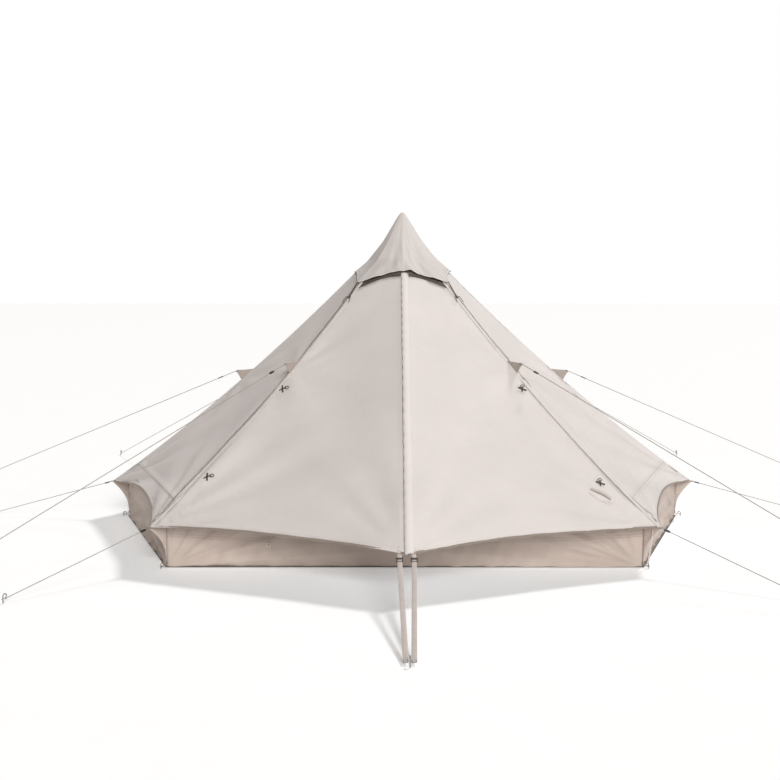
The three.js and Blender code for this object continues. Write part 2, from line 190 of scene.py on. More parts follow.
# ---------------------------------------------------------------- node materials
class Nodes:
    """A new material, with short calls that add and join its nodes."""

    def __init__(self, name, roughness, metallic=0.0, sheen=0.0):
        self.material = bpy.data.materials.new(name)
        self.material.use_nodes = True
        self.tree = self.material.node_tree
        self.bsdf = self.tree.nodes["Principled BSDF"]
        self.bsdf.inputs["Roughness"].default_value = roughness
        self.bsdf.inputs["Metallic"].default_value = metallic
        self.bsdf.inputs["Sheen Weight"].default_value = sheen

    def feed(self, socket, value):
        """Links another node's output to a socket, or sets the socket to a plain value."""
        if isinstance(value, bpy.types.NodeSocket):
            self.tree.links.new(value, socket)
        else:
            socket.default_value = value

    def add(self, kind, **sockets):
        node = self.tree.nodes.new(kind)
        for key, value in sockets.items():
            self.feed(node.inputs[key.replace("_", " ")], value)
        return node

    def coordinates(self, uv=False):
        return self.add("ShaderNodeTexCoord").outputs["UV" if uv else "Object"]

    def noise(self, vector, scale, detail, rough=0.55):
        node = self.add("ShaderNodeTexNoise", Vector=vector, Scale=scale, Detail=detail, Roughness=rough)
        return node.outputs["Fac"]

    def drawn_noise(self, vector, scale, detail):
        """Noise drawn out along the axes whose scale is small."""
        mapping = self.add("ShaderNodeMapping", Vector=vector, Scale=scale)
        return self.noise(mapping.outputs[0], 1.0, detail)

    def math(self, operation, a, b=0.0):
        """One sum. A MULTIPLY_ADD adds a half, which is the node's own third value."""
        node = self.add("ShaderNodeMath")
        node.operation = operation
        self.feed(node.inputs[0], a)
        self.feed(node.inputs[1], b)
        return node.outputs[0]

    def tones(self, fac, base, low, high, start=0.3, end=0.7):
        """A colour that goes from one share of its brightness to another over a stretch of a pattern."""
        node = self.add("ShaderNodeValToRGB", Fac=fac)
        for point, stop, share in zip(node.color_ramp.elements, (start, end), (low, high)):
            point.position = stop
            point.color = (*shade(base, share), 1)
        return node.outputs["Color"]

    def mix(self, fac, a, b, blend="MIX"):
        node = self.add("ShaderNodeMix")
        node.data_type = "RGBA"
        node.blend_type = blend
        self.feed(node.inputs[0], fac)
        for socket, value in ((6, a), (7, b)):
            self.feed(node.inputs[socket], (*value, 1) if isinstance(value, tuple) else value)
        return node.outputs[2]

    def bump(self, height, strength, distance):
        node = self.add("ShaderNodeBump", Strength=strength, Distance=distance, Height=height)
        self.feed(self.bsdf.inputs["Normal"], node.outputs["Normal"])

    def colour(self, value):
        self.feed(self.bsdf.inputs["Base Color"], value)

    def roughness(self, fac, low, high):
        self.feed(self.bsdf.inputs["Roughness"], self.tones(fac, WHITE, low, high))

    def weave(self, vector, pitch):
        """Over-and-under threads, from 0 to 1, on the first two axes of the vector."""
        split = self.add("ShaderNodeSeparateXYZ", Vector=vector)
        turn = 2 * math.pi / pitch
        waves = [self.math("SINE", self.math("MULTIPLY", split.outputs[axis], turn)) for axis in "XY"]
        return self.math("MULTIPLY_ADD", self.math("MULTIPLY", *waves), 0.5)


def shade(base, amount):
    return tuple(min(1.0, c * amount) for c in base)


def cloth_material(name, base, seams=()):
    """Woven canvas: threads, slubs, faint mottling and a soft dusty sheen."""
    n = Nodes(name, roughness=0.92, sheen=0.15)
    vector = n.coordinates(uv=True)
    slubs = n.drawn_noise(vector, (14, 260, 1), 4)
    cross_slubs = n.drawn_noise(vector, (240, 12, 1), 4)
    fibres = n.math("ADD", slubs, cross_slubs)
    fibre_tone = n.tones(n.math("MULTIPLY", fibres, 0.5), WHITE, 0.94, 1.0, 0.35, 0.65)
    cloud = n.noise(n.coordinates(), 2.2, 5, 0.6)
    colour = n.mix(1.0, n.tones(cloud, base, 0.95, 1.03), fibre_tone, "MULTIPLY")
    threads = n.math("MULTIPLY_ADD", n.weave(vector, THREAD_PITCH), 0.5)
    height = n.math("ADD", threads, fibres)
    for level, spread in seams:
        colour, height = seam_line(n, vector, level, spread, colour, height, base)
    n.colour(colour)
    n.roughness(cloud, 0.88, 0.97)
    n.bump(height, 0.35, 0.0006)
    return n.material


def seam_line(n, vector, level, spread, colour, height, base):
    """A lapped seam across the cloth at one height of its own map, with two rows of stitches and a dark line
    of painted shade along each edge of the lap.
    """
    split = n.add("ShaderNodeSeparateXYZ", Vector=vector)
    away = n.math("ABSOLUTE", n.math("SUBTRACT", split.outputs["Y"], level))
    lap = n.math("LESS_THAN", away, spread)
    # Painted shade: a dark line along each edge of the lap, where the lap's edge stands off the cloth.
    edge = n.math("LESS_THAN", n.math("ABSOLUTE", n.math("SUBTRACT", away, spread)), 0.0022)
    row = n.math("LESS_THAN", n.math("ABSOLUTE", n.math("SUBTRACT", away, spread * 0.6)), 0.0011)
    wave = n.math("SINE", n.math("MULTIPLY", split.outputs["X"], 2 * math.pi / STITCH_PITCH))
    stitch = n.math("MULTIPLY", row, n.math("GREATER_THAN", wave, -0.3))
    colour = n.mix(n.math("MULTIPLY", edge, 0.32), colour, shade(base, 0.45))
    colour = n.mix(n.math("MULTIPLY", stitch, 0.22), colour, shade(base, 0.6))
    height = n.math("ADD", height, n.math("MULTIPLY", lap, 2.0))
    height = n.math("SUBTRACT", height, n.math("MULTIPLY", stitch, 1.5))
    return colour, height


def mesh_material(name, base):
    """Knitted insect mesh: fine threads with gaps that show what is behind."""
    n = Nodes(name, roughness=0.85)
    threads = n.weave(n.coordinates(uv=True), MESH_PITCH)
    n.colour(n.tones(n.noise(n.coordinates(), 9, 3), base, 0.8, 1.25))
    n.bump(threads, 0.5, 0.0005)
    solid = n.math("GREATER_THAN", threads, 0.35)
    n.feed(n.bsdf.inputs["Alpha"], n.math("MULTIPLY_ADD", solid, 0.45))
    return n.material


def webbing_material(name, base):
    """Flat woven webbing: coarse threads, paler and darker in patches."""
    n = Nodes(name, roughness=0.8, sheen=0.2)
    threads = n.weave(n.coordinates(uv=True), WEBBING_PITCH)
    tone = n.tones(n.noise(n.coordinates(), 18, 4), base, 0.8, 1.0)
    n.colour(n.mix(threads, tone, shade(base, 0.9)))
    n.bump(threads, 0.6, 0.0006)
    return n.material


def cord_material(name, base):
    """Braided cord: waving strands, with painted shade in the gaps between them."""
    n = Nodes(name, roughness=0.75, sheen=0.1)
    wave = n.add("ShaderNodeTexWave", Vector=n.coordinates(), Scale=60.0, Distortion=6.0, Detail=2.0)
    n.colour(n.tones(wave.outputs["Fac"], base, 0.55, 1.0, 0.1, 0.45))
    n.bump(wave.outputs["Fac"], 0.6, 0.0005)
    return n.material


def steel_material(name, base, rough=0.32):
    """Drawn or plated steel with fine scratches and duller handled patches."""
    n = Nodes(name, roughness=rough, metallic=1.0)
    where = n.coordinates()
    scratches = n.drawn_noise(where, (220, 220, 9), 5)
    n.colour(n.tones(n.noise(where, 14, 4), base, 0.82, 1.08))
    n.roughness(scratches, rough * 0.8, rough * 1.5)
    n.bump(scratches, 0.15, 0.0003)
    return n.material


def moulded_material(name, base, rough=0.5, grain=420):
    """Moulded plastic or rubber with a fine spark-eroded grain and rubbed high spots."""
    n = Nodes(name, roughness=rough)
    where = n.coordinates()
    fine = n.noise(where, grain, 4)
    n.colour(n.tones(n.noise(where, 25, 3), base, 0.85, 1.3, end=0.75))
    n.roughness(fine, rough * 0.85, rough * 1.2)
    n.bump(fine, 0.2, 0.0004)
    return n.material


def groundsheet_material(name, base):
    """Coated woven sheet: crossed flat tapes under a satin coating, dusty in the middle."""
    n = Nodes(name, roughness=0.55)
    where = n.coordinates()
    tapes = n.weave(where, TAPE_PITCH)
    dust = n.noise(where, 1.7, 6, 0.65)
    colour = n.tones(dust, base, 1.0, 1.5, start=0.35)
    n.colour(n.mix(n.math("MULTIPLY", tapes, 0.35), colour, shade(base, 0.7)))
    n.roughness(dust, 0.42, 0.7)
    n.bump(tapes, 0.3, 0.0008)
    return n.material


# ---------------------------------------------------------------- mesh helpers
def link(name, data, look=None):
    """A new object of a mesh, curve, camera or light, in the scene."""
    ob = bpy.data.objects.new(name, data)
    bpy.context.scene.collection.objects.link(ob)
    if look is not None:
        data.materials.append(look)
    return ob


def place(ob, body, slot, *nodes):
    """Puts a piece on its body; the slot is not used. It stands in for the CAD nodes, if any are named."""
    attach(ob, body)
    if nodes:
        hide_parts(*nodes)
    return ob


def standing(x, y, z, origin):
    """The matrix that turns the axes to three directions and moves them to a point."""
    return Matrix(np.vstack([np.column_stack([x, y, z, origin]), [0, 0, 0, 1]]).tolist())


def smooth(mesh):
    mesh.polygons.foreach_set("use_smooth", [True] * len(mesh.polygons))


def grid_mesh(name, points, uv, look, closed=False):
    """A mesh from rows of points, with a map in metres."""
    rows, columns = points.shape[:2]
    index = np.arange(rows * columns).reshape(rows, columns)
    if closed:
        index = np.concatenate([index, index[:, :1]], 1)
    faces = np.stack([index[:-1, :-1], index[:-1, 1:], index[1:, 1:], index[1:, :-1]], -1).reshape(-1, 4)
    mesh = bpy.data.meshes.new(name)
    mesh.from_pydata(points.reshape(-1, 3).tolist(), [], faces.tolist())
    layer = mesh.uv_layers.new(name="cloth")
    loops = np.zeros(len(mesh.loops), np.int32)
    mesh.loops.foreach_get("vertex_index", loops)
    layer.data.foreach_set("uv", uv.reshape(-1, 2)[loops].ravel().astype(np.float32))
    smooth(mesh)
    return link(name, mesh, look)


def face_up(ob, towards=Z_AXIS):
    """Turns every face so that the mesh's average normal points along a direction."""
    normal = sum((p.normal * p.area for p in ob.data.polygons), Vector())
    if normal.dot(Vector(towards)) < 0:
        ob.data.flip_normals()


def thicken(ob, thick, offset=-1.0):
    """Gives a sheet its thickness, applied to the mesh."""
    modifier = ob.modifiers.new("thickness", "SOLIDIFY")
    modifier.thickness = thick
    modifier.offset = offset
    apply_modifiers(ob)


def apply_modifiers(ob):
    graph = bpy.context.evaluated_depsgraph_get()
    mesh = bpy.data.meshes.new_from_object(ob.evaluated_get(graph), depsgraph=graph)
    ob.modifiers.clear()
    ob.data = mesh


def along_of(path):
    """The direction of a path at each of its points."""
    along = np.gradient(path, axis=0)
    return along / np.linalg.norm(along, axis=1, keepdims=True)


def lengths_along(path):
    return np.concatenate([[0], np.cumsum(np.linalg.norm(np.diff(path, axis=0), axis=1))])


def ribbon(name, path, width, thick, look, up=None, across=None):
    """A flat band along a path. It faces up, or its width runs across, or both are given."""
    if across is None:
        across = np.cross(along_of(path), up)
    if up is None:
        up = np.cross(across, along_of(path))
    corner = [(-0.5, 0.15), (-0.44, 0.5), (0.44, 0.5), (0.5, 0.15)]
    section = corner + [(-a, -b) for a, b in corner]
    points = np.stack([path + across * (a * width) + up * (b * thick) for a, b in section], 1)
    uv = np.stack([np.stack([np.full(len(path), a * width), lengths_along(path)], -1) for a, _ in section], 1)
    ob = grid_mesh(name, points, uv, look, closed=True)
    cap_ends(ob.data, len(path), len(section))
    return ob


def cap_ends(mesh, rows, count):
    """Closes the first and last ring of a mesh made from rows of points."""
    bm = bmesh.new()
    bm.from_mesh(mesh)
    bm.verts.ensure_lookup_table()
    bm.faces.new([bm.verts[i] for i in range(count)])
    bm.faces.new([bm.verts[(rows - 1) * count + i] for i in reversed(range(count))])
    bmesh.ops.recalc_face_normals(bm, faces=bm.faces)
    bm.to_mesh(mesh)
    bm.free()


def tube(name, points, radius, look, sides=10, smooth_path=True, steps=None):
    """A closed round bar through the points."""
    path = np.array(points, float)
    if smooth_path and len(path) > 2:
        path = spline(path, steps or 6 * len(path))
    tangents = along_of(path)
    side = np.cross(tangents[0], Z_AXIS)
    if np.linalg.norm(side) < 1e-4:
        side = X_AXIS
    angles = np.linspace(0, 2 * math.pi, sides, endpoint=False)
    rings = []
    for point, tangent in zip(path, tangents):
        side = unit(side - tangent * side.dot(tangent))
        other = np.cross(tangent, side)
        rings.append([point + radius * (math.cos(a) * side + math.sin(a) * other) for a in angles])
    along = lengths_along(path)
    uv = np.array([[(radius * 2 * math.pi * k / sides, d) for k in range(sides)] for d in along])
    ob = grid_mesh(name, np.array(rings), uv, look, closed=True)
    cap_ends(ob.data, len(path), sides)
    return ob


def spline(points, steps):
    """Points on a Catmull-Rom curve through the given ones."""
    p = [2 * points[0] - points[1], *points, 2 * points[-1] - points[-2]]
    result = []
    for t in np.linspace(0, len(points) - 1, steps):
        i = min(int(t), len(points) - 2)
        f = t - i
        a, b, c, d = p[i : i + 4]
        square, cube = 2 * a - 5 * b + 4 * c - d, 3 * b - a - 3 * c + d
        result.append(0.5 * (2 * b + (c - a) * f + square * f**2 + cube * f**3))
    return np.array(result)


def ring_points(middle, a, b, count=21):
    """Points once round an ellipse with half axes a and b."""
    return [middle + math.cos(t) * a + math.sin(t) * b for t in np.linspace(0, 2 * math.pi, count)]


def join(name, parts):
    """Joins objects into the first one, under one name."""
    for ob in bpy.context.view_layer.objects:
        ob.select_set(False)
    for ob in parts:
        ob.select_set(True)
    bpy.context.view_layer.objects.active = parts[0]
    bpy.ops.object.join()
    parts[0].name = name
    parts[0].data.name = name
    return parts[0]


# ---------------------------------------------------------------- camera, floor, light
def add_camera():
    """A view from eye height, a little left of the middle, tilted slightly down."""
    data = bpy.data.cameras.new("camera")
    data.sensor_width = 36
    data.lens = CAMERA_LENS
    data.clip_end = 200
    camera = link("camera", data)
    camera.location = [share * CORNER_RADIUS for share in CAMERA_PLACE]
    camera.rotation_euler = (math.pi / 2 - CAMERA_TILT, 0, 0)
    bpy.context.scene.camera = camera


def add_floor():
    """A pale seamless ground that stays near white where it is lit."""
    bpy.ops.mesh.primitive_plane_add(size=400, location=(0, 0, -0.001))
    floor = bpy.context.object
    floor.name = "floor"
    n = Nodes("floor_white", roughness=0.95)
    n.colour(n.tones(n.noise(n.coordinates(), 3, 3), WHITE, 0.93, 0.95))
    n.bsdf.inputs["Emission Color"].default_value = (0.93, 0.98, 1.0, 1)
    n.bsdf.inputs["Emission Strength"].default_value = 0.21
    floor.data.materials.append(n.material)


def add_sun(name, direction, energy, angle):
    data = bpy.data.lights.new(name, "SUN")
    data.energy = energy
    data.angle = math.radians(angle)
    link(name, data).rotation_euler = (-Vector(direction)).to_track_quat("-Z", "Y").to_euler()


def add_light():
    """A broad key from the front, a weaker light from behind on the right, and a faint warm sky.

    The camera sees plain white behind the tent instead of the sky.
    """
    add_sun("key", (0.25, -0.86, 0.445), 2.38, 26)
    add_sun("back", (0.42, 0.50, 0.76), 1.55, 9)
    world = bpy.data.worlds.new("sky")
    bpy.context.scene.world = world
    world.use_nodes = True
    nodes, links = world.node_tree.nodes, world.node_tree.links
    sky = nodes["Background"]
    sky.inputs["Color"].default_value = (1.0, 0.86, 0.76, 1)
    sky.inputs["Strength"].default_value = 0.15
    backdrop = nodes.new("ShaderNodeBackground")
    backdrop.inputs["Color"].default_value = (1.0, 1.0, 1.0, 1)
    seen = nodes.new("ShaderNodeLightPath")
    mix = nodes.new("ShaderNodeMixShader")
    links.new(seen.outputs["Is Camera Ray"], mix.inputs[0])
    links.new(sky.outputs[0], mix.inputs[1])
    links.new(backdrop.outputs[0], mix.inputs[2])
    links.new(mix.outputs[0], nodes["World Output"].inputs["Surface"])
    bpy.context.scene.view_settings.view_transform = "Standard"


add_camera()

CANVAS = cloth_material("canvas_cream", CANVAS_COLOUR, seams=[(0.255, 0.0107)])
FLAP_CANVAS = cloth_material("canvas_flap", shade(CANVAS_COLOUR, 1.03))
DOOR_CANVAS = cloth_material("canvas_door", CANVAS_COLOUR)
CAP_CANVAS = cloth_material("canvas_cap", shade(CANVAS_COLOUR, 0.91), seams=[(0.016, 0.006)])
# Darker and warmer than the canopy's canvas: painted shade, standing for the shade under the eaves on the low
# walls and their flanges.
SHADED_WALL_CANVAS = cloth_material("canvas_wall_painted_shade", (0.53, 0.44, 0.385), seams=[(0.158, 0.008)])
INNER_CANVAS = cloth_material("canvas_inner", shade(CANVAS_COLOUR, 0.93), seams=[(0.05, 0.006)])
TAPE = webbing_material("tape_cream", (0.74, 0.69, 0.64))
# Dark brown: painted shade, standing for the shaded crease and gap beside each front ridge where the side
# seams run.
SEAM_SHADE_TAPE = webbing_material("tape_seam_painted_shade", (0.24, 0.195, 0.17))
# Darker than the canopy's canvas: painted shade, standing for the shaded faces of the lift tabs.
SHADED_TAB_CANVAS = cloth_material("canvas_tab_painted_shade", (0.40, 0.345, 0.31))
DARK_WEBBING = webbing_material("webbing_dark", (0.045, 0.038, 0.032))
HEM = webbing_material("tape_hem", (0.30, 0.245, 0.205))
STRAP = webbing_material("webbing_cream", (0.62, 0.555, 0.515))
MESH = mesh_material("mesh_brown", (0.13, 0.105, 0.085))
CORD = cord_material("cord_cream", (0.40, 0.36, 0.315))
STEEL = steel_material("steel_galvanised", (0.60, 0.60, 0.60))
PEG_STEEL = steel_material("steel_peg", (0.34, 0.33, 0.32), 0.4)
ZIP_METAL = steel_material("zip_antique", (0.30, 0.27, 0.23))
PLASTIC = moulded_material("nylon_dark", (0.030, 0.025, 0.021))
RUBBER = moulded_material("rubber_black", (0.018, 0.018, 0.018), 0.8, 260)
GROUNDSHEET = groundsheet_material("groundsheet_coated", (0.16, 0.14, 0.115))


# ---------------------------------------------------------------- cords
LOCK_OUTLINE = [
    (-0.019, 0.0), (-0.015, 0.009), (0.0, 0.0115), (0.017, 0.0085),
    (0.021, 0.0), (0.017, -0.0085), (0.0, -0.0115), (-0.015, -0.009),
]
LOCK_HOLES = ((-0.0105, 0.0042), (0.001, 0.0046), (0.0125, 0.0042))  # where along it, and how wide


def cord_curve(name, start, end):
    """A taut line as one open spline."""
    data = bpy.data.curves.new(name, "CURVE")
    data.dimensions = "3D"
    data.bevel_depth = LINE_RADIUS
    data.bevel_resolution = 3
    data.use_fill_caps = True
    route = between(start, end, 15)
    line = data.splines.new("POLY")
    line.points.add(len(route) - 1)
    for point, spot in zip(line.points, route):
        point.co = (*spot, 1)
    return link(name, data, CORD)


def line_end(azimuth, radius):
    return at(azimuth, radius - LINE_BEFORE_PEG, LINE_END_HEIGHT)


def peg_path(azimuth, radius):
    """The part of a peg above the ground: a shank and a hook that turns back towards the tent."""
    shank = [(0, 0.0), (0, 0.014), (0, 0.034)]
    hook = [(-0.003, 0.048), (-0.012, 0.053), (-0.020, 0.046), (-0.020, 0.036)]
    return [at(azimuth, radius + out, z) for out, z in shank + hook]


def peg_loop(name, azimuth, radius):
    """The knotted loop of line round a peg's shank."""
    middle = at(azimuth, radius, LINE_END_HEIGHT)
    side, out = at(azimuth + 90, 1, 0), at(azimuth, 1, 0)
    ring = ring_points(middle, 0.0075 * out, 0.0075 * side + 0.002 * Z_AXIS, 17)
    loop = tube(name, ring, 0.0018, CORD, 6, steps=24)
    knot_at = at(azimuth, radius - 0.016, LINE_END_HEIGHT + 0.003)
    turns = np.linspace(0, 2 * math.pi, 17)
    wound = np.stack([np.cos(3 * turns), np.sin(3 * turns), 0.9 * np.sin(2 * turns)], -1)
    return join(name, [loop, tube(name + "_knot", knot_at + 0.0042 * wound, 0.0017, CORD, 6, steps=40)])


def line_lock(name, origin, way):
    """A small flat line tensioner: a rounded three-hole plate that the line threads through."""
    data = bpy.data.curves.new(name, "CURVE")
    data.dimensions = "2D"
    data.fill_mode = "BOTH"
    data.extrude = 0.0028
    data.bevel_depth = 0.0008
    data.bevel_resolution = 2
    angles = np.linspace(0, 2 * math.pi, 10, endpoint=False)
    holes = [[(x + r * math.cos(a), r * math.sin(a)) for a in angles] for x, r in LOCK_HOLES]
    for points in [LOCK_OUTLINE] + holes:
        s = data.splines.new("BEZIER")
        s.bezier_points.add(len(points) - 1)
        for b, (x, y) in zip(s.bezier_points, points):
            b.co = (x, y, 0)
            b.handle_left_type = b.handle_right_type = "AUTO"
        s.use_cyclic_u = True
        s.resolution_u = 4
    ob = link(name, data, PLASTIC)
    z = unit(np.cross(way, np.cross(Z_AXIS, way)))
    ob.matrix_world = standing(way, np.cross(z, way), z, origin)
    bpy.context.view_layer.update()
    mesh = bpy.data.meshes.new_from_object(ob)
    mesh.transform(ob.matrix_world)
    bpy.data.objects.remove(ob)
    smooth(mesh)
    return link(name, mesh)


def add_guy(kind, name, azimuth, start, anchor):
    """A taut line from its fitting at start to the knot round its peg, with the tensioner on it."""
    end = line_end(azimuth, anchor)
    line = cord_curve(f"{kind}_line_{name}.cord", start, end)
    place(line, "shelter", "cord", f"{kind}_line_{name}")
    loop = place(peg_loop(f"{kind}_knot_{name}", azimuth, anchor), "shelter", "cord")


def add_middle_guys():
    for name, azimuth in CORNERS.items():
        anchor = MIDDLE_ANCHOR[name]
        way = unit(line_end(azimuth, anchor) - tab_tip(azimuth))
        start = tab_tip(azimuth) + way * TAB_CLEAR
        lock = line_lock(f"line_lock_{name}", start + way * LOCK_FROM_TAB, way)
        place(lock, f"tensioner_{name}", "plastic", f"guy_tensioner_{name}")
        add_guy("guy", name, azimuth, start, anchor)
        add_tab_ring(f"tab_ring_{name}", azimuth, way)


def add_tab_ring(name, azimuth, way):
    """A small ring through the tab's eyelet, which takes the line."""
    ring = ring_points(tab_tip(azimuth) + way * 0.004, 0.013 * way, 0.008 * at(azimuth + 90, 1, 0))
    place(tube(name, ring, 0.002, PEG_STEEL, 8, steps=32), "shelter", "steel")


def add_eave_guys():
    for name, azimuth in CORNERS.items():
        anchor = EAVE_ANCHOR.get(name, EAVE_ANCHOR["usual"])
        start = at(azimuth, CORNER_RADIUS + 0.012, EAVE_HEIGHT - 0.004)
        way = unit(line_end(azimuth, anchor) - start)
        peg = tube(f"eave_peg_{name}", peg_path(azimuth, anchor), 0.0035, PEG_STEEL, 10)
        place(peg, "shelter", "steel")
        lock = line_lock(f"eave_lock_{name}", start + way * LOCK_FROM_EAVE, way)
        place(lock, "shelter", "plastic")
        add_guy("eave", name, azimuth, start, anchor)


def strap_ends(s):
    """Where a strap's buckle starts, where the strap leaves it and ends, and the strap's direction."""
    top = np.array([s * STRAP_SPREAD, -CORNER_RADIUS - 0.006, EAVE_HEIGHT - 0.016])
    end = np.array([s * 0.020, -STRAP_PEG + 0.030, 0.016])
    way = unit(end - top)
    return top, top + way * BUCKLE_LENGTH / 2, end, way


def add_front_straps():
    for side, s in SIDES:
        top, start, end, way = strap_ends(s)
        path = between(start, end, 60)
        across = unit(np.cross(Z_AXIS, way))
        up = np.cross(way, across)
        strap = ribbon(f"strap_{side}.webbing", path, STRAP_WIDTH, STRAP_THICK, STRAP, up, across)
        place(strap, f"strap_{side}", "webbing", f"strap_{side}")
        ring = ring_points(end - way * 0.004, 0.012 * across, 0.010 * way)
        hook = tube(f"strap_ring_{side}", ring, 0.002, PEG_STEEL, 8, steps=32)
        place(hook, f"strap_{side}", "steel")
        add_buckle(side, top, way, across, up)


def add_buckle(side, top, way, across, up):
    """A ladder-lock buckle: two rails and four bars, with the webbing threaded through."""
    ends = [top + across * s * BUCKLE_HALF for s in (-1, 1)]
    parts = []
    for end in ends:
        rail = [end + way * d for d in (0.002, BUCKLE_LENGTH - 0.002)]
        parts.append(tube("rail", rail, 0.0026, PLASTIC, 8, smooth_path=False))
    for d, lift in ((0.004, 0.0), (0.019, 0.0015), (0.034, -0.001), (0.048, 0.0015)):
        bar = [end + way * d + up * lift for end in ends]
        parts.append(tube("bar", bar, 0.0024, PLASTIC, 8, smooth_path=False))
    place(join(f"ladder_lock_{side}", parts), f"door_{side}", "plastic", f"buckle_{side}")


# ---------------------------------------------------------------- canopy
SLOPE = 1.26  # length down a panel for each metre of radius
SEAM_RADIUS = 0.91 * CORNER_RADIUS
SEAM_HALF, SEAM_EDGE, SEAM_LIFT = 0.0085, 0.001, 0.0014
GORE_COLUMNS, GORE_ROWS = 37, 58


def hem_radius(t, arch):
    return CORNER_RADIUS * (1 - arch * 4 * t * (1 - t))


def hump(x):
    """Rises from 0 to 1 at x = 1, then dies away."""
    return x * np.exp(1 - x)


def pucker(away, up):
    """The small gathers that stitching leaves beside a ridge seam."""
    return 0.0024 * np.exp(-away / 0.045) * np.sin(2 * np.pi * up / 0.075 + 2.5 * np.sin(5 * up))


def folds(left, right, radius, t):
    """How far the cloth stands off a flat panel: slack, puckers, and folds that fan from corners and tabs."""
    width = gore_width(radius)
    across = t * width
    up = (CORNER_RADIUS - radius) * SLOPE
    share = np.clip((radius - VENT_RADIUS) / (CORNER_RADIUS - VENT_RADIUS), 0, 1)
    key = 0.37 * left
    middle = np.sin(np.pi * t)
    off = -0.014 * middle * np.sin(np.pi * share)  # the slack of the whole panel
    off = off + 0.0045 * middle * np.sin(3.1 * across + 2.3 * up + key)  # long swells, crossed
    off = off + 0.0035 * middle * np.sin(5.9 * across - 3.7 * up + 2 * key)
    off = off + 0.0022 * middle * np.exp(-up / 0.09) * np.sin(27 * across + key)  # the hem's ripple
    for ridge, away in ((left, across), (right, width - across)):
        reach, angle = np.hypot(away, up), np.arctan2(up, away)
        pull = 1.0 if ridge else 0.35
        off = off + 0.011 * pull * hump(reach / 0.34) * np.sin(13 * angle + key + ridge)
        off = off + 0.004 * pull * hump(reach / 0.18) * np.sin(23 * angle + ridge)
        if ridge:
            level = up - (CORNER_RADIUS - tab_radius(ridge)) * SLOPE
            reach, angle = np.hypot(away, level), np.arctan2(level, away)
            off = off + 0.005 * hump(reach / 0.17) * np.sin(8 * angle + key)
        off = off + pucker(away, up)
    return off * np.clip(np.minimum(across, width - across) / 0.03, 0, 1)


def gore_points(left, right, radius, t):
    t = np.asarray(t)[..., None]
    return ridge_point(left, radius) * (1 - t) + ridge_point(right, radius) * t


def cloth_points(left, right, radius, t):
    off = folds(left, right, radius, t)[..., None]
    return gore_points(left, right, radius, t) + panel_outwards(left, right) * off


def gore_grid(left, right, top, arch, seam=False):
    """Rows of points from the top edge to the hem, and their map in metres."""
    t = np.linspace(0, 1, GORE_COLUMNS)[None]
    top = np.broadcast_to(top, t.shape)
    hem = hem_radius(t, arch)
    share = np.linspace(0, 1, GORE_ROWS)[:, None]
    lift = np.zeros((GORE_ROWS, 1))
    radius = top + (hem - top) * share
    if seam:
        low, high = SEAM_RADIUS - SEAM_HALF, SEAM_RADIUS + SEAM_HALF
        upper = top + (low - SEAM_EDGE - top) * share
        band = np.array([[low], [high]]) + 0 * t
        lower = high + SEAM_EDGE + (hem - high - SEAM_EDGE) * np.linspace(0, 1, 12)[:, None]
        radius = np.concatenate([upper, band, lower])
        lift = np.concatenate([lift, [[SEAM_LIFT], [SEAM_LIFT]], np.zeros((12, 1))])
    t = np.broadcast_to(t, radius.shape)
    points = cloth_points(left, right, radius, t) + panel_outwards(left, right) * lift[..., None]
    uv = np.stack([(t - 0.5) * gore_width(radius) + 0.04 * left, (CORNER_RADIUS - radius) * SLOPE], -1)
    return points, uv


def weld(ob):
    """Joins the points that neighbouring panels share."""
    bm = bmesh.new()
    bm.from_mesh(ob.data)
    bmesh.ops.remove_doubles(bm, verts=bm.verts, dist=0.0004)
    bm.to_mesh(ob.data)
    bm.free()
    smooth(ob.data)


def add_canopy():
    """The six fixed panels, sewn into one cloth round the back of the tent."""
    grids = [gore_grid(a, b, VENT_RADIUS, SIDE_ARCH, seam=True) for a, b in GORES]
    canopy = grid_mesh("canopy", *(np.concatenate([g[k] for g in grids], 1) for k in (0, 1)), CANVAS)
    weld(canopy)
    face_up(canopy)
    thicken(canopy, CANVAS_THICK)
    place(canopy, "shelter", "canvas", *(f"panel_{side}" for side in FIXED_SIDES))
    hem = join("canopy_hem_binding", [hem_ribbon("hem", a, b, SIDE_ARCH) for a, b in GORES])
    place(hem, "shelter", "webbing")
    tapes = [add_ridge_tape(name, azimuth) for name, azimuth in CORNERS.items()]


def hem_ribbon(name, left, right, arch):
    """Binding folded over the edge of a hem."""
    t = np.linspace(0.004, 0.996, 90)
    out = panel_outwards(left, right)
    path = cloth_points(left, right, hem_radius(t, arch) - 0.003, t) - out * 0.0008
    return ribbon(name, path, 0.015, 0.0034, HEM, up=out)


def add_ridge_tape(name, azimuth):
    """Webbing sewn over a ridge seam, folded along the ridge."""
    radius = np.linspace(0.37, CORNER_RADIUS - 0.002, 120)
    up = (CORNER_RADIUS - radius) * SLOPE
    middle = ridge_point(azimuth, radius)
    columns, maps = [], []
    for share in (-1, -0.92, -0.5, 0, 0.5, 0.92, 1):
        away = share * TAPE_HALF
        other = azimuth + math.copysign(EIGHTH, away)
        side = ridge_point(other, radius) - middle
        side /= np.linalg.norm(side, axis=1, keepdims=True)
        out = panel_outwards(azimuth, other) if away else ridge_frame(azimuth, 1.3)[2]
        rise = 0.0006 if abs(share) == 1 else 0.0024
        lift = rise + pucker(abs(away), up) * min(abs(away) / 0.03, 1)
        columns.append(middle + side * abs(away) + out * lift[:, None])
        maps.append(np.stack([np.full(len(up), away), up], -1))
    tape = grid_mesh(f"ridge_tape_{name}", np.stack(columns, 1), np.stack(maps, 1), TAPE)
    face_up(tape)
    thicken(tape, 0.0014)
    return place(tape, "shelter", "webbing")


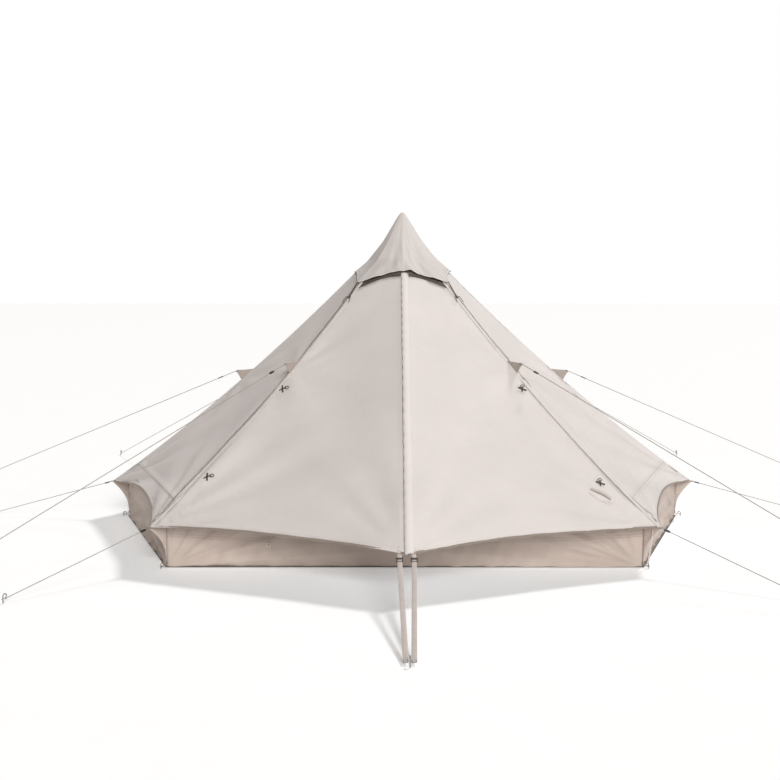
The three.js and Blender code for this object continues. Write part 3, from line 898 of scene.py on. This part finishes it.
def add_side_seams():
    """Felled seams that run beside the two front ridges on the side panels, dark brown as painted shade of
    the crease and gap beside each ridge.
    """
    radius = np.linspace(0.42, CORNER_RADIUS - 0.03, 120)
    for side, s in SIDES:
        near, far = s * EIGHTH, 2 * s * EIGHTH
        out = panel_outwards(near, far)
        parts = []
        for away, width in ((0.027, 0.008), (0.046, 0.005)):
            path = cloth_points(near, far, radius, away / gore_width(radius)) + out * 0.0021
            parts.append(ribbon("seam", path, width, 0.0018, SEAM_SHADE_TAPE, up=out))
        place(join(f"side_seam_{side}", parts), "shelter", "webbing")


def add_tabs():
    """A pointed tab stands up from each ridge and takes a middle guy line."""
    for name, azimuth in CORNERS.items():
        radius = tab_radius(azimuth)
        foot = ridge_point(azimuth, radius)
        down, side, out = ridge_frame(azimuth, radius)
        v, u = np.meshgrid(np.linspace(0, 1, 12), np.linspace(-1, 1, 13), indexing="ij")
        half = TAB_BASE / 2 * (1 - v) ** 1.15 + 0.009 * v
        sway = 0.003 * np.sin(3 * u + 4 * v) * v
        swept = half * u - TAB_SWEEP * (1 - v)
        points = foot + down * swept[..., None] + out * (v * TAB_HEIGHT)[..., None] + side * sway[..., None]
        tab = grid_mesh(f"lift_tab_{name}", points, np.stack([swept, v * TAB_HEIGHT], -1), SHADED_TAB_CANVAS)
        thicken(tab, 0.003, 0.0)
        place(tab, "shelter", "webbing")


# ---------------------------------------------------------------- doors
FLAP_LANES = (  # how far from the seam, and how far off the cloth
    (-0.0125, 0.0050), (-0.010, 0.0066), (0.001, 0.0085), (0.010, 0.0090),
    (0.022, 0.0088), (0.036, 0.0030), (0.043, 0.0016),
)


def door_top(t_from_ridge):
    """The radius of a door's top edge, which arches up from the ridge to the front seam."""
    return DOOR_TOP_SEAM + (DOOR_TOP_RIDGE - DOOR_TOP_SEAM) * (1 - t_from_ridge) ** 2.2


def door_blend(ob, s):
    """Bakes the piece's transform into its mesh; no part of it turns with the door."""
    middle = ridge_point(s * EIGHTH, 1.35)
    inward = unit(ridge_point(0, 1.35) - middle)
    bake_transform(ob)


def add_doors():
    t = np.linspace(0, 1, GORE_COLUMNS)[None]
    for side, s in SIDES:
        points, uv = gore_grid(s * EIGHTH, 0, door_top(t), FRONT_ARCH)
        if s > 0:
            points = points + X_AXIS * DOORS_APART
        door = grid_mesh(f"door_{side}_canvas", points, uv, DOOR_CANVAS)
        face_up(door)
        thicken(door, CANVAS_THICK)
        door_blend(door, s)
        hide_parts(f"door_{side}")
        hem = hem_ribbon(f"door_{side}_hem", s * EIGHTH, 0, FRONT_ARCH)
        door_blend(hem, s)
        zip_half = add_zip(side, s)


def seam_line_points(away, lift, count=140, top=DOOR_TOP_SEAM + 0.01, end=0.004):
    """A line that follows the front seam, away from it along a door and standing off the cloth."""
    radius = np.linspace(top, CORNER_RADIUS - end, count)
    base = ridge_point(0, radius)
    ridge = EIGHTH if away > 0 else -EIGHTH
    across = ridge_point(ridge, radius) - base
    across /= np.linalg.norm(across, axis=1, keepdims=True)
    at_seam = unit(panel_outwards(-EIGHTH, 0) + panel_outwards(0, EIGHTH))
    out = panel_outwards(0, ridge) if abs(away) > 0.004 else at_seam
    return base + across * abs(away) + out * lift


def add_zip(side, s):
    """Half a zip along a door's free edge: a tape and its row of teeth."""
    out = panel_outwards(0, s * EIGHTH)
    tape = ribbon("zip_tape", seam_line_points(s * 0.008, 0.0012), 0.012, 0.0016, DARK_WEBBING, up=out)
    count, sides = 420, 6
    middle = seam_line_points(s * 0.0022, 0.0022, count=count)
    thick = np.where(np.arange(count) % 2, 0.0011, 0.0017)[:, None]
    along = along_of(middle)
    u = np.cross(along, X_AXIS)
    u /= np.linalg.norm(u, axis=1, keepdims=True)
    w = np.cross(along, u)
    angles = np.linspace(0, 2 * math.pi, sides, endpoint=False)
    ring = np.stack([middle + (u * math.cos(a) + w * math.sin(a)) * thick for a in angles], 1)
    teeth = grid_mesh("zip_teeth", ring, np.zeros((count, sides, 2)), ZIP_METAL, closed=True)
    cap_ends(teeth.data, count, sides)
    return place(join(f"zip_half_{side}", [tape, teeth]), f"door_{side}", "zip_metal")


def add_flap():
    """The storm flap over the zip, sewn to the right door and free on its left edge."""
    top = DOOR_TOP_SEAM - 0.02
    columns, maps = [], []
    for away, lift in FLAP_LANES:
        line = seam_line_points(away, lift, top=top, end=0.0)
        up = (CORNER_RADIUS - np.linspace(top, CORNER_RADIUS, len(line))) * SLOPE
        ripple = 0.0019 * np.sin(2 * np.pi * up / 0.085 + 3 * np.sin(3.1 * up)) * (0.4 + hump(up / 2.0))
        sway = np.stack([ripple * (0.8 if away < 0.03 else 0.2), 0 * up, abs(ripple) * 0.8], -1)
        columns.append(line + sway)
        maps.append(np.stack([np.full(len(up), away), up], -1))
    flap = grid_mesh("zip_flap", np.stack(columns, 1), np.stack(maps, 1), FLAP_CANVAS)
    face_up(flap)
    thicken(flap, CANVAS_THICK)
    place(flap, "door_right", "canvas")


def add_zip_slider():
    """A slider with a short pull, on the front seam just above the hem."""
    middle = np.mean(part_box("zip_slider"), axis=0)
    down = unit(ridge_point(0, 2.2) - ridge_point(0, 2.1))
    out = upward(np.cross(X_AXIS, down))
    body = slab("slider_body", middle, down, X_AXIS, out, (0.024, 0.011, 0.0042), 0.0014)
    pull_at = middle + down * 0.022 + out * 0.0008
    pull = slab("slider_pull", pull_at, down, X_AXIS, out, (0.026, 0.0075, 0.0016), 0.0006)
    place(join("zip_slider_metal", [body, pull]), "zip_slider", "zip_metal", "zip_slider")


def slab(name, middle, x, y, z, size, bevel):
    """A small bevelled metal block with its sides along three directions."""
    mesh = bpy.data.meshes.new(name)
    bm = bmesh.new()
    bmesh.ops.create_cube(bm, size=1)
    bmesh.ops.scale(bm, vec=size, verts=bm.verts)
    bmesh.ops.bevel(bm, geom=bm.edges, offset=bevel, segments=3, affect="EDGES")
    turn = standing(x, y, z, middle)
    bm.transform(turn)
    if turn.determinant() < 0:
        bmesh.ops.reverse_faces(bm, faces=bm.faces)
    bm.to_mesh(mesh)
    bm.free()
    smooth(mesh)
    return link(name, mesh, ZIP_METAL)


# ---------------------------------------------------------------- cap and vent
CAP_RADII = np.array([0.001, 0.014, 0.052, 0.143, 0.266, 0.335, 0.371, 0.473])
CAP_HEIGHTS = np.array([2.3425, 2.342, 2.284, 2.132, 1.978, 1.921, 1.895, 1.808])
CAP_CORNER, CAP_MIDDLE = 0.473, 0.371


def cap_height(radius):
    """The cap's height at a radius, with the profile's corners eased."""
    spread = np.array([-0.012, -0.006, 0.0, 0.006, 0.012])
    near = np.abs(np.asarray(radius)[..., None] + spread)
    return np.mean(np.interp(near, CAP_RADII, CAP_HEIGHTS), -1)


def cap_hem(azimuth):
    return CAP_MIDDLE + (CAP_CORNER - CAP_MIDDLE) * (1 - np.abs(np.cos(2 * np.radians(azimuth))))


def cap_points(azimuth, share):
    """Points on the cap, share 0 at the peak and 1 at the hem."""
    a = np.radians(azimuth)
    radius = cap_hem(azimuth) * share
    sector = np.mod(azimuth, EIGHTH) - EIGHTH / 2
    chord = math.cos(math.radians(EIGHTH / 2)) / np.cos(np.radians(sector))
    flat = 1 + (chord - 1) * np.clip(radius / 0.25, 0, 1)
    fold = 0.0065 * np.sin(9 * a + 0.7) + 0.005 * np.sin(16 * a + 5 * share)
    fold = fold + 0.003 * np.sin(27 * a - 9 * share)
    fold = fold * share**1.4 * (1 + 0.7 * np.sin(a)) * (0.25 + 0.75 * np.abs(np.cos(2 * a)))
    crease = np.sin(95 * radius + 21 * a) * np.sin(34 * a - 60 * radius) + 0.7 * np.sin(130 * radius - 27 * a)
    fold = fold + 0.0016 * crease * share * (0.45 + 0.55 * np.tanh(6 * np.sin(a)))
    sag = -0.003 * np.sin(np.pi * share) * np.abs(np.cos(2 * a))
    r = radius * flat + 0.6 * fold
    return np.stack([r * np.sin(a), -r * np.cos(a), cap_height(radius) + 0.8 * fold + sag], -1)


def add_cap():
    azimuth, share = np.meshgrid(np.linspace(-180, 180, 241)[:-1], np.linspace(0.004, 1, 60))
    hem = cap_hem(azimuth)
    uv = np.stack([np.radians(azimuth) * hem * share, (1 - share) * hem * 1.3], -1)
    cap = grid_mesh("cap_canvas", cap_points(azimuth, share), uv, CAP_CANVAS, closed=True)
    face_up(cap)
    thicken(cap, 0.002)
    place(cap, "shelter", "canvas", "peak_cap")
    around = np.linspace(-180, 180, 321)
    path = cap_points(around, 0.985)
    across = path - cap_points(around, 0.93)
    across /= np.linalg.norm(across, axis=1, keepdims=True)
    up = np.cross(along_of(path), across)
    up *= np.sign(up[:, 2:])
    binding = ribbon("cap_hem_binding", path - up * 0.001, 0.014, 0.0036, TAPE, up, across)
    place(binding, "shelter", "webbing")
    ties = [add_cap_tie(azimuth) for azimuth in (-135, -45, 45, 135)]


def add_cap_tie(azimuth):
    """A short dark tie from a corner of the cap to the ridge, with its knot and tails."""
    foot = ridge_point(azimuth, 0.56) + Z_AXIS * 0.004
    side = at(azimuth + 90, 1, 0)
    path = between(cap_points(azimuth, 0.99), foot, 14)
    parts = [ribbon("tie", path, 0.012, 0.0022, DARK_WEBBING, across=side)]
    for s in (-1, 1):
        bend = foot + side * s * 0.022 + Z_AXIS * 0.012
        tail = [foot, bend, foot + side * s * 0.034 + at(azimuth, 0.03, -0.028)]
        parts.append(tube("tail", tail, 0.0022, DARK_WEBBING, 6))
    return place(join(f"cap_tie_{azimuth % 360}", parts), "shelter", "webbing")


def add_vents():
    """Insect mesh between the top of each door and the cap."""
    t, share = np.meshgrid(np.linspace(0, 1, 21), np.linspace(0, 1, 9))
    radius = VENT_RADIUS + (door_top(t) + 0.012 - VENT_RADIUS) * share
    slack = 0.006 * np.sin(np.pi * t) * np.sin(np.pi * share)
    uv = np.stack([t * radius * 0.77, radius * SLOPE], -1)
    for side, s in SIDES:
        out = panel_outwards(s * EIGHTH, 0)
        points = gore_points(s * EIGHTH, 0, radius, t) - out * (0.004 + slack)[..., None]
        vent = grid_mesh(f"vent_{side}_mesh", points, uv, MESH)
        face_up(vent)
        thicken(vent, MESH_THICK)
        place(vent, "shelter", "mesh", f"vent_{side}")


# ---------------------------------------------------------------- low walls and ground sheet
WALL_TOP, SILL_TOP = 0.352, 0.309


def wall_folds(across, height, width, key):
    """Folds of a slack wall: hanging ones, diagonal ones and drag lines from its lower corners."""
    off = 0.005 * (0.25 + height / 0.35) * np.sin(2 * np.pi * across / 0.37 + 1.3 * np.sin(7 * height) + key)
    off = off + 0.004 * np.sin(2 * np.pi * across / 0.23 + 17 * height + 2 * key)
    off = off + 0.003 * np.sin(2 * np.pi * across / 0.11 - 23 * height + key) * np.sin(1.9 * across + key)
    for s, away in ((1, across), (-1, width - across)):
        reach, angle = np.hypot(away, height), np.arctan2(height, away)
        off = off + 0.026 * hump(reach / 0.40) * (0.6 - np.abs(np.sin(8 * angle + key + s)))
        off = off + 0.016 * hump(reach / 0.75) * (0.6 - np.abs(np.sin(17 * angle + 2 * key)))
    off = off * (1 - np.clip(height / SILL_TOP, 0, 1) ** 4) + 0.007 * np.clip(1 - height / 0.03, 0, 1) ** 2
    return off * np.clip(np.minimum(across, width - across) / 0.06, 0, 1)


def wall_grid(start, end, top, key, bow=0.0, columns=80):
    """Rows of points up one side of the low wall, from the ground to its top, and their map."""
    t, share = np.meshgrid(np.linspace(0, 1, columns + 1), np.linspace(0, 1, 32))
    width = float(np.linalg.norm(end - start))
    height = 0.005 + (top - 0.005) * share
    out = unit(start + end)
    off = wall_folds(t * width, height, width, key)
    points = start * (1 - t[..., None]) + end * t[..., None] + out * off[..., None]
    points[..., 2] = height
    return points, np.stack([t * width, height - bow * (2 * t - 1) ** 2], -1)


def add_walls():
    ends = [(at(a, GROUND_RADIUS, 0), at(b, GROUND_RADIUS, 0)) for a, b in GORES]
    grids = [wall_grid(a, b, WALL_TOP, 1.7 * i) for i, (a, b) in enumerate(ends)]
    wall = grid_mesh("low_wall", *(np.concatenate([g[k] for g in grids], 1) for k in (0, 1)), SHADED_WALL_CANVAS)
    finish_wall(wall)
    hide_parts(*(f"wall_{side}" for side in FIXED_SIDES))
    flanges = [add_flange(name, azimuth) for name, azimuth in CORNERS.items()]
    start, end = at(-EIGHTH, GROUND_RADIUS, 0), at(EIGHTH, GROUND_RADIUS, 0)
    sill = grid_mesh("front_wall", *wall_grid(start, end, SILL_TOP, 0.9, bow=0.05, columns=220), SHADED_WALL_CANVAS)
    finish_wall(sill)
    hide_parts("front_sill")


def finish_wall(wall):
    """Turns a wall's faces away from the tent, gives it its thickness and puts it on the shelter."""
    weld(wall)
    first = wall.data.polygons[0]
    if first.normal.dot(Vector((*first.center[:2], 0))) < 0:
        wall.data.flip_normals()
    thicken(wall, CANVAS_THICK)
    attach(wall, "shelter")


def add_flange(name, azimuth):
    """A curved web of cloth from a wall's corner out to the eave corner."""
    reach = CORNER_RADIUS - GROUND_RADIUS - 0.004
    c, v = np.meshgrid(np.linspace(0, 1, 9), np.linspace(0, 1, 18), indexing="ij")
    radius = GROUND_RADIUS + reach * c
    low = 0.012 + 0.250 * c**0.42
    high = ridge_height(radius, azimuth) - 0.007
    height = low + (high - low) * v
    sway = 0.006 * c * np.sin(14 * height + azimuth)
    points = at(azimuth, radius, height) + at(azimuth + 90, 1, 0) * sway[..., None]
    flange = grid_mesh(f"wall_flange_{name}", points, np.stack([radius, height], -1), SHADED_WALL_CANVAS)
    thicken(flange, CANVAS_THICK, 0.0)
    return place(flange, "shelter", "canvas")


def add_groundsheet():
    """The floor, with low ripples and an edge that shows under the walls."""
    azimuth, share = np.meshgrid(np.linspace(-180, 180, 241)[:-1], np.linspace(0.001, 1, 46))
    front = np.abs(azimuth) < EIGHTH
    sector = np.where(front, azimuth, np.mod(azimuth, EIGHTH) - EIGHTH / 2)
    half = np.where(front, EIGHTH, EIGHTH / 2)
    edge = (GROUND_RADIUS + 0.013) * np.cos(np.radians(half)) / np.cos(np.radians(sector))
    radius = edge * share
    turn = np.radians(azimuth)
    ripple = np.sin(9 * radius + 3 * np.sin(3 * turn)) * np.sin(7 * turn + 4 * radius)
    height = 0.0030 + 0.0018 * ripple * (1 - share**6)
    points = at(azimuth, radius, height)
    sheet = grid_mesh("floor_sheet", points, points[..., :2], GROUNDSHEET, closed=True)
    face_up(sheet)
    thicken(sheet, 0.0009)
    place(sheet, "shelter", "groundsheet", "groundsheet")


# ---------------------------------------------------------------- inner front wall and mesh doors
INNER_BASE = np.array([0.0, -1.50472, 0.31526])
INNER_UP = np.array([0.0, 0.645159, 0.764049])
INNER_OUT = np.array([0.0, -0.764049, 0.645159])
INNER_RISE, INNER_HALF_BOTTOM, INNER_HALF_TOP = 1.5925, 1.4887, 0.4613
DOORWAY_HALF_BOTTOM, DOORWAY_HALF_TOP, DOORWAY_SILL, DOORWAY_HEIGHT = 0.52, 0.24, 0.06, 1.24


def inner_point(x, y, off=0.0):
    """A point on the sloping inner wall, x across it, y up it and off it."""
    x, y, off = (np.asarray(v, float)[..., None] for v in (x, y, off))
    return INNER_BASE + X_AXIS * x + INNER_UP * y + INNER_OUT * (off + 0.0015)


def trapezium(bottom, top, low, high, per_side=24):
    """A closed outline of four sides, as many points on each."""
    corners = np.array([(-bottom, low), (bottom, low), (top, high), (-top, high)])
    ends = zip(corners, np.roll(corners, -1, axis=0))
    return np.concatenate([between(a, b, per_side + 1)[:-1] for a, b in ends])


def add_inner_wall():
    """The sloping wall behind the porch, with a doorway and a zip round it."""
    gap = 0.004
    outer = trapezium(INNER_HALF_BOTTOM, INNER_HALF_TOP, gap, INNER_RISE)
    inner = trapezium(DOORWAY_HALF_BOTTOM + gap, DOORWAY_HALF_TOP + gap, DOORWAY_SILL - gap,
                      DOORWAY_SILL + DOORWAY_HEIGHT + gap)
    share = np.linspace(0, 1, 14)[:, None, None]
    flat = inner * (1 - share) + outer * share
    x, y = flat[..., 0], flat[..., 1]
    slack = 0.007 * np.sin(np.pi * share[..., 0]) * (np.sin(5 * x + 3 * y) + 0.6 * np.sin(11 * x - 4 * y))
    wall = grid_mesh("inner_wall", inner_point(x, y, slack), flat, INNER_CANVAS, closed=True)
    face_up(wall, INNER_OUT)
    thicken(wall, CANVAS_THICK)
    place(wall, "shelter", "canvas", "inner_front_wall")
    line = np.concatenate([inner, inner[:1]])
    zip_path = inner_point(line[:, 0], line[:, 1], 0.0022)
    inner_zip = tube("inner_zip", zip_path, 0.0026, DARK_WEBBING, 6, smooth_path=False)
    place(inner_zip, "shelter", "zip_metal")


def add_inner_doors():
    """Two leaves of insect mesh with webbing borders, which meet in the middle of the doorway."""
    t, share = np.meshgrid(np.linspace(0, 1, 25), np.linspace(0, 1, 45))
    y = DOORWAY_SILL + DOORWAY_HEIGHT * share
    half = DOORWAY_HALF_BOTTOM + (DOORWAY_HALF_TOP - DOORWAY_HALF_BOTTOM) * share
    low, high = DOORWAY_SILL + 0.008, DOORWAY_SILL + DOORWAY_HEIGHT - 0.008
    outer_low, outer_high = DOORWAY_HALF_BOTTOM - 0.014, DOORWAY_HALF_TOP - 0.006
    outline = [(0.010, low), (outer_low, low), (outer_high, high), (0.010, high)]
    for side, s in SIDES:
        x = s * (0.002 + (half - 0.002) * t)
        slack = 0.005 * np.sin(np.pi * t) * np.sin(np.pi * share) * (1 + np.sin(9 * y + 4 * x))
        leaf = grid_mesh(f"mesh_leaf_{side}", inner_point(x, y, slack), np.stack([x, y], -1), MESH)
        face_up(leaf, INNER_OUT)
        thicken(leaf, MESH_THICK)
        place(leaf, f"inner_door_{side}", "mesh", f"inner_door_{side}")
        parts = []
        for a, b in zip(outline, outline[1:] + outline[:1]):
            flat = between(np.array(a), np.array(b), 20)
            path = inner_point(s * flat[:, 0], flat[:, 1], 0.001)
            parts.append(ribbon("border", path, 0.018, 0.0026, TAPE, up=INNER_OUT))
        border = place(join(f"leaf_border_{side}", parts), f"inner_door_{side}", "webbing")


# ---------------------------------------------------------------- small hardware
TOGGLES = (  # side, ridge, radius, and how far from the ridge
    ("left", -EIGHTH, 1.235, 0.050),
    ("left", -EIGHTH, 1.885, 0.075),
    ("right", EIGHTH, 1.24, 0.075),
    ("right", EIGHTH, 1.925, 0.125),
)


def add_toggles():
    """Toggles and loops beside the front ridges, which hold a door that is rolled back."""
    for i, (side, azimuth, radius, away) in enumerate(TOGGLES):
        out = panel_outwards(azimuth, 0)
        middle = cloth_points(azimuth, 0, radius, away / gore_width(radius)) + out * 0.010
        down = ridge_frame(azimuth, radius)[0]
        side_way = unit(np.cross(out, down))
        slant, cross = (unit(down * 0.75 + turn * side_way * 0.65) for turn in (1, -1))
        bar = tube("bar", [middle + slant * d for d in (-0.030, 0, 0.030)], 0.0052, PLASTIC, 10)
        steps = ((-0.026, -0.004), (0, 0.003), (0.026, -0.004))
        arch = [middle + cross * d + out * lift for d, lift in steps]
        web = tube("web", arch, 0.0034, DARK_WEBBING, 8)
        ring = ring_points(middle - cross * 0.030 - out * 0.003, 0.015 * side_way, 0.011 * down, 17)
        loop = tube("loop", ring, 0.0022, DARK_WEBBING, 6, steps=28)
        place(join(f"toggle_{side}_{i}", [bar, web, loop]), "shelter", "plastic")


def add_roll_strap():
    """The pale strap beside the lower right toggle, bowed a little between its sewn ends."""
    share = np.linspace(0, 1, 24)
    radius, away = 1.955 + 0.080 * share, 0.221 - 0.071 * share
    out = panel_outwards(EIGHTH, 0)
    lift = 0.008 + 0.010 * np.sin(np.pi * share)
    path = cloth_points(EIGHTH, 0, radius, away / gore_width(radius)) + out * lift[:, None]
    place(ribbon("roll_strap", path, 0.020, 0.002, STRAP, up=out), "shelter", "webbing")


def add_corner_fittings():
    """At each eave corner a ring for its line, and at each ground corner a webbing loop and a peg."""
    for name, azimuth in CORNERS.items():
        side, out = at(azimuth + 90, 1, 0), at(azimuth, 1, 0)
        eave = at(azimuth, CORNER_RADIUS + 0.006, EAVE_HEIGHT - 0.003)
        ring = ring_points(eave, 0.013 * side, 0.012 * out)
        place(tube(f"eave_ring_{name}", ring, 0.0024, PEG_STEEL, 8, steps=30), "shelter", "steel")
        foot = at(azimuth, GROUND_RADIUS + 0.006, 0.012)
        tip = at(azimuth, GROUND_RADIUS + 0.050, 0.012)
        path = spline([foot + Z_AXIS * 0.026, foot + Z_AXIS * 0.008, tip], 16)
        place(ribbon(f"peg_loop_{name}", path, 0.014, 0.0024, HEM, across=side), "shelter", "webbing")
        low_peg = [p * [1, 1, 0.62] for p in peg_path(azimuth, GROUND_RADIUS + 0.048)]
        place(tube(f"wall_peg_{name}", low_peg, 0.003, PEG_STEEL, 8), "shelter", "steel")


def add_corner_strap():
    """A pale strap from the right front eave corner down to its wall peg."""
    top = at(EIGHTH, CORNER_RADIUS - 0.045, 0.285)
    path = between(top, at(EIGHTH, GROUND_RADIUS + 0.040, 0.016), 20)
    strap = ribbon("corner_strap", path, 0.020, 0.0022, STRAP, across=at(EIGHTH + 90, 1, 0))
    place(strap, "shelter", "webbing")


def add_wall_loop():
    """A small pale webbing loop on the low front wall."""
    base = np.array([-0.86, -1.513, 0.150])
    a = np.linspace(0, 2 * math.pi, 17)
    ring = base + np.stack([0.010 * np.cos(a), -0.008 - 0.006 * np.sin(a / 2), 0.013 * np.sin(a)], -1)
    place(tube("wall_loop", ring, 0.0042, TAPE, 8, steps=30), "shelter", "webbing")


def add_strap_tops():
    """Webbing sewn under each door's hem and passed round the buckle's first bar."""
    radius = np.linspace(2.212, 2.246, 16)
    share = 1 - STRAP_SPREAD / gore_width(radius)
    for side, s in SIDES:
        under_cloth = cloth_points(s * EIGHTH, 0, radius, share) - panel_outwards(s * EIGHTH, 0) * 0.0042
        top, _, _, way = strap_ends(s)
        path = spline([*under_cloth[::3], top + way * 0.004], 40)
        web = ribbon(f"strap_top_{side}", path, 0.027, 0.0024, STRAP, across=X_AXIS)
        place(web, f"door_{side}", "webbing")


def dress_cad(look, *names):
    """Gives CAD parts that keep their shape a full material."""
    for name in names:
        ob = frame["nodes"][name]
        ob.data.materials.clear()
        ob.data.materials.append(look)


add_canopy()
add_side_seams()
add_tabs()
add_doors()
add_flap()
add_zip_slider()
add_cap()
add_vents()
add_walls()
add_groundsheet()
add_inner_wall()
add_inner_doors()
add_middle_guys()
add_eave_guys()
add_front_straps()
add_strap_tops()
add_toggles()
add_roll_strap()
add_corner_fittings()
add_corner_strap()
add_wall_loop()
dress_cad(STEEL, "pole_lower", "pole_upper")
dress_cad(RUBBER, "pole_foot")
dress_cad(PLASTIC, "pole_crown")
dress_cad(PEG_STEEL, "front_peg", *(f"guy_peg_{name}" for name in CORNERS))
add_floor()
add_light()
